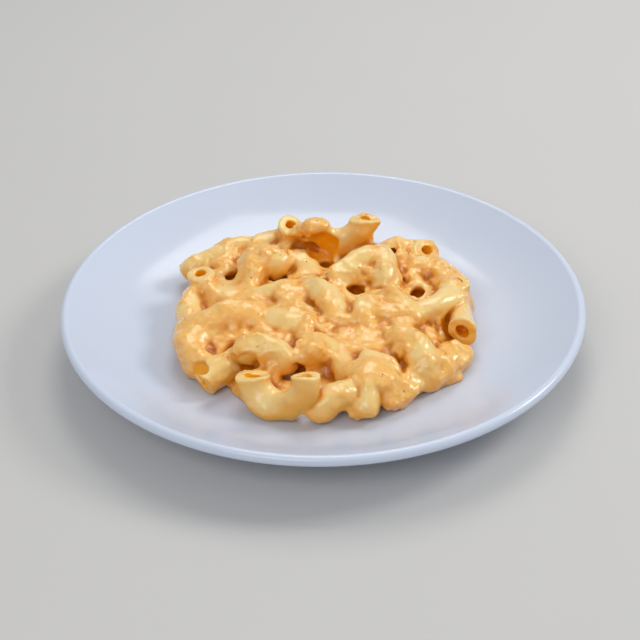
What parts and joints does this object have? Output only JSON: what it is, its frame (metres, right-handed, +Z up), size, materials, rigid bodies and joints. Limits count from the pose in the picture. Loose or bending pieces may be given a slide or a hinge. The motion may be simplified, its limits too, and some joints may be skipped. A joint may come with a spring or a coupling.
{
  "type": "plate of macaroni and cheese",
  "caption": "Heap of sauced elbow macaroni resting on a round white coupe plate with a rolled lip and a foot ring.",
  "frame": {"origin": "centre of the plate's foot ring, on the plane that the plate stands on", "axes": "+Z up along the plate's axis, -Y towards the front of the meal, +X to its right"},
  "size_m": [0.2006, 0.2006, 0.0343],
  "materials": {
    "plate_glaze": "smooth glossy white glaze",
    "macaroni_and_sauce": "cream yellow pasta under a glossy light orange cheese sauce with fine dark specks"
  },
  "bodies": {
    "root": {"plate": "plate_glaze", "macaroni_heap": "macaroni_and_sauce"}
  },
  "joints": []
}
